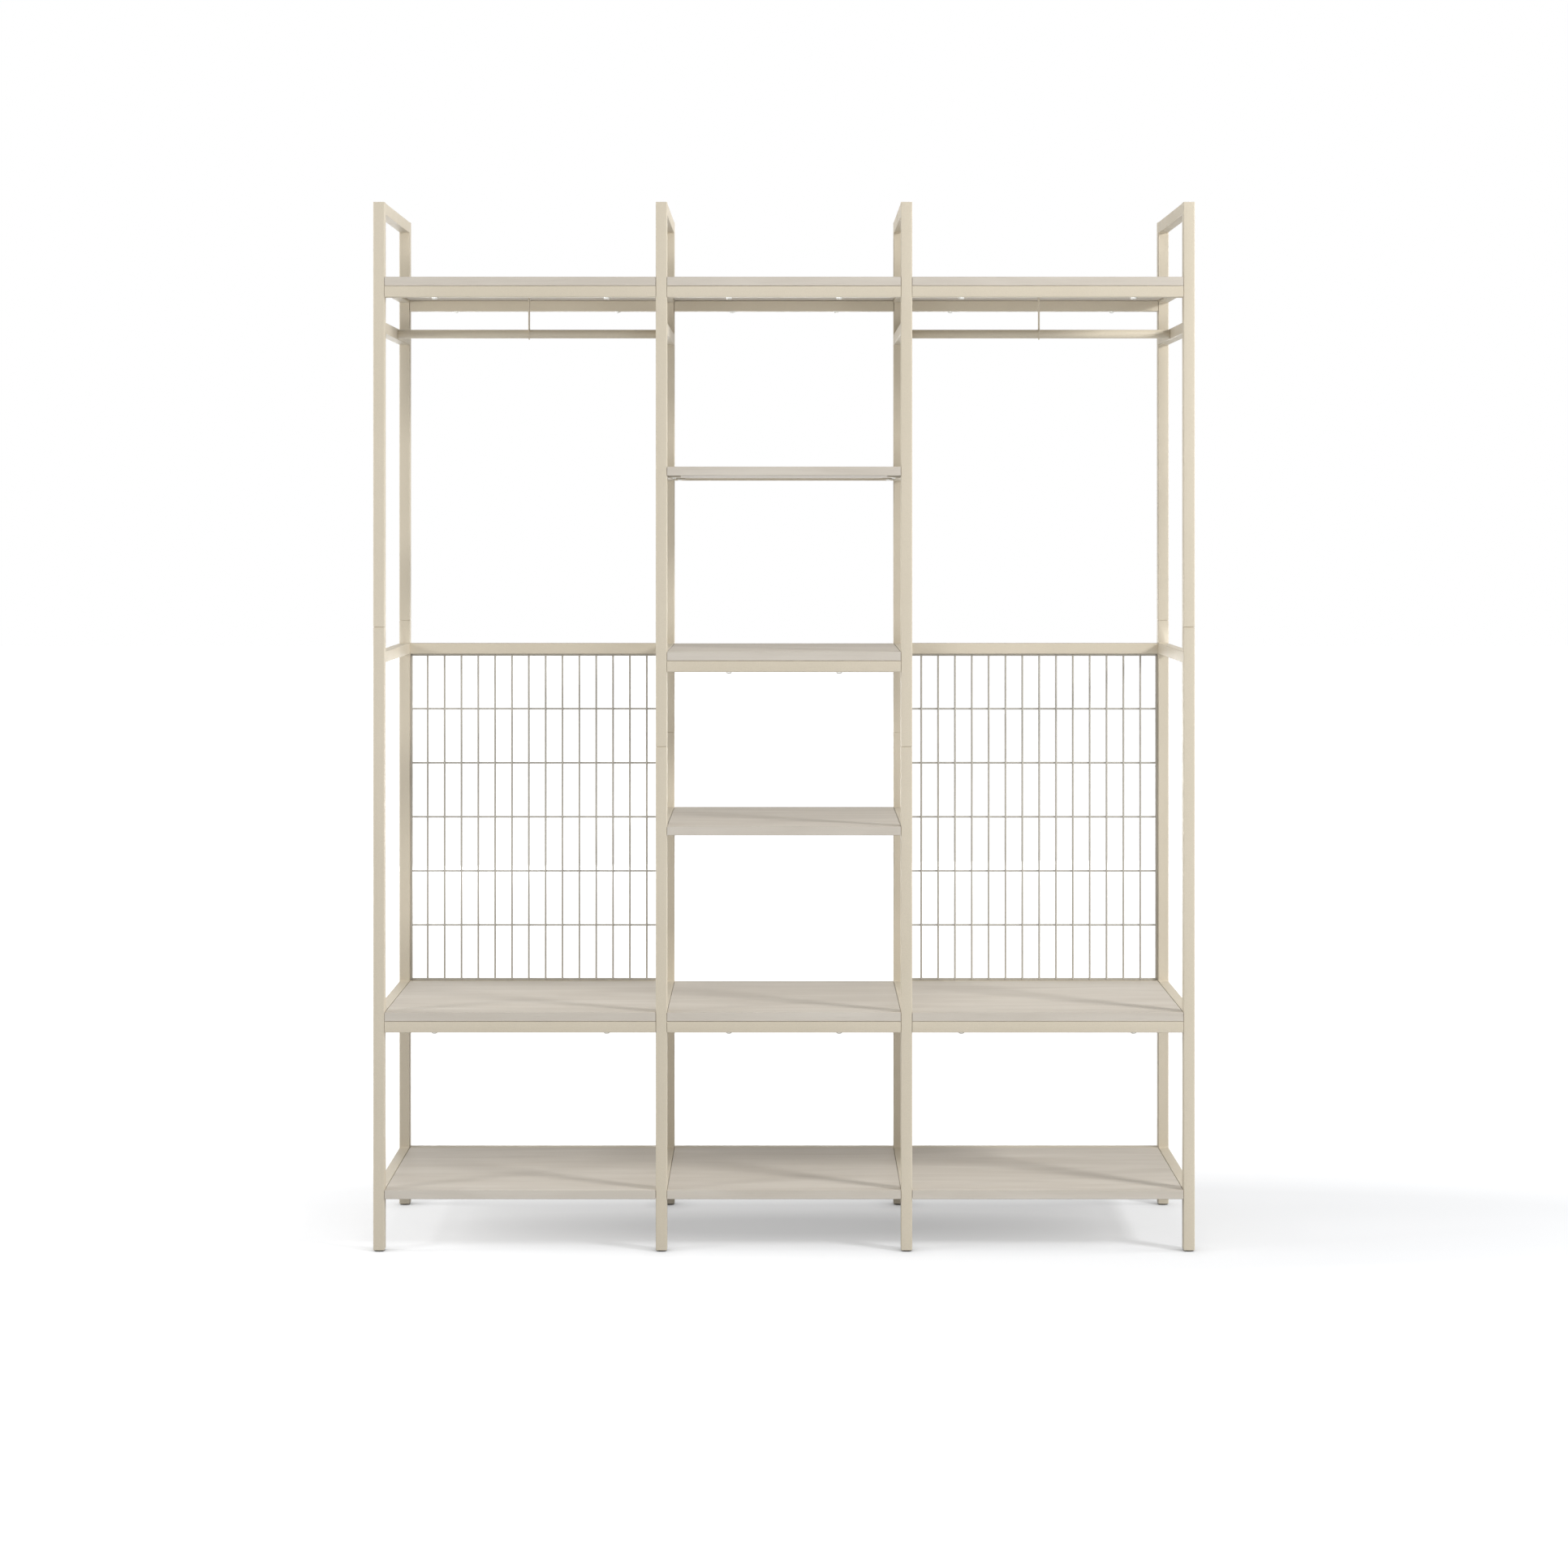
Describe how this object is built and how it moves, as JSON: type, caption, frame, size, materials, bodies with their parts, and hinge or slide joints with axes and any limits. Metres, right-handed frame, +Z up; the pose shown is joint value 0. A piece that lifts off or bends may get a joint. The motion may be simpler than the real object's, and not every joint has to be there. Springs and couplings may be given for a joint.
{
  "type": "open frame wardrobe",
  "caption": "Free-standing open wardrobe of square steel tube with laminated shelves, a hanging rod in each side bay, wire grids behind the lower side bays and levelling feet.",
  "frame": {"origin": "on the floor, below the middle of the wardrobe's width and depth", "axes": "+Z up, -Y out of the open front, +X to the right as seen from the front"},
  "size_m": [1.829, 0.457, 2.337],
  "materials": {
    "frame_coat": "matt champagne powder coat",
    "panel_laminate": "pale matt laminate on board",
    "foot_nylon": "dark grey nylon",
    "insert_zinc": "zinc plated"
  },
  "bodies": {
    "carcase": {"frame_end_left_lower": "frame_coat", "frame_end_left_upper": "frame_coat", "frame_inner_left_lower": "frame_coat", "frame_inner_left_upper": "frame_coat", "frame_inner_right_lower": "frame_coat", "frame_inner_right_upper": "frame_coat", "frame_end_right_lower": "frame_coat", "frame_end_right_upper": "frame_coat", "rail_top_front_left": "frame_coat", "rail_top_front_centre": "frame_coat", "rail_top_front_right": "frame_coat", "rail_top_back_left": "frame_coat", "rail_top_back_centre": "frame_coat", "rail_top_back_right": "frame_coat", "rail_upper_back": "frame_coat", "rail_middle_front": "frame_coat", "rail_grid_top_left": "frame_coat", "rail_grid_top_right": "frame_coat", "rail_lower_front_left": "frame_coat", "rail_lower_front_centre": "frame_coat", "rail_lower_front_right": "frame_coat", "rail_grid_bottom_left": "frame_coat", "rail_grid_bottom_right": "frame_coat", "rail_bottom_back_left": "frame_coat", "rail_bottom_back_centre": "frame_coat", "rail_bottom_back_right": "frame_coat", "shelf_top_left": "panel_laminate", "shelf_top_centre": "panel_laminate", "shelf_top_right": "panel_laminate", "shelf_upper": "panel_laminate", "shelf_middle": "panel_laminate", "shelf_centre": "panel_laminate", "shelf_lower_left": "panel_laminate", "shelf_lower_centre": "panel_laminate", "shelf_lower_right": "panel_laminate", "shelf_bottom_left": "panel_laminate", "shelf_bottom_centre": "panel_laminate", "shelf_bottom_right": "panel_laminate", "grid_panel_left": "frame_coat", "hanging_rod_left": "frame_coat", "rod_strap_left": "frame_coat", "grid_panel_right": "frame_coat", "hanging_rod_right": "frame_coat", "rod_strap_right": "frame_coat", "foot_insert_end_left_front": "insert_zinc", "foot_insert_end_left_back": "insert_zinc", "foot_insert_inner_left_front": "insert_zinc", "foot_insert_inner_left_back": "insert_zinc", "foot_insert_inner_right_front": "insert_zinc", "foot_insert_inner_right_back": "insert_zinc", "foot_insert_end_right_front": "insert_zinc", "foot_insert_end_right_back": "insert_zinc"},
    "foot_end_left_front": {"foot_end_left_front": "foot_nylon"},
    "foot_end_left_back": {"foot_end_left_back": "foot_nylon"},
    "foot_inner_left_front": {"foot_inner_left_front": "foot_nylon"},
    "foot_inner_left_back": {"foot_inner_left_back": "foot_nylon"},
    "foot_inner_right_front": {"foot_inner_right_front": "foot_nylon"},
    "foot_inner_right_back": {"foot_inner_right_back": "foot_nylon"},
    "foot_end_right_front": {"foot_end_right_front": "foot_nylon"},
    "foot_end_right_back": {"foot_end_right_back": "foot_nylon"}
  },
  "joints": [
    {"name": "foot_end_left_front_thread", "type": "slide", "parent": "carcase", "child": "foot_end_left_front", "axis": [0, 0, -1], "range_m": [0, 0.01]},
    {"name": "foot_end_left_back_thread", "type": "slide", "parent": "carcase", "child": "foot_end_left_back", "axis": [0, 0, -1], "range_m": [0, 0.01]},
    {"name": "foot_inner_left_front_thread", "type": "slide", "parent": "carcase", "child": "foot_inner_left_front", "axis": [0, 0, -1], "range_m": [0, 0.01]},
    {"name": "foot_inner_left_back_thread", "type": "slide", "parent": "carcase", "child": "foot_inner_left_back", "axis": [0, 0, -1], "range_m": [0, 0.01]},
    {"name": "foot_inner_right_front_thread", "type": "slide", "parent": "carcase", "child": "foot_inner_right_front", "axis": [0, 0, -1], "range_m": [0, 0.01]},
    {"name": "foot_inner_right_back_thread", "type": "slide", "parent": "carcase", "child": "foot_inner_right_back", "axis": [0, 0, -1], "range_m": [0, 0.01]},
    {"name": "foot_end_right_front_thread", "type": "slide", "parent": "carcase", "child": "foot_end_right_front", "axis": [0, 0, -1], "range_m": [0, 0.01]},
    {"name": "foot_end_right_back_thread", "type": "slide", "parent": "carcase", "child": "foot_end_right_back", "axis": [0, 0, -1], "range_m": [0, 0.01]}
  ]
}
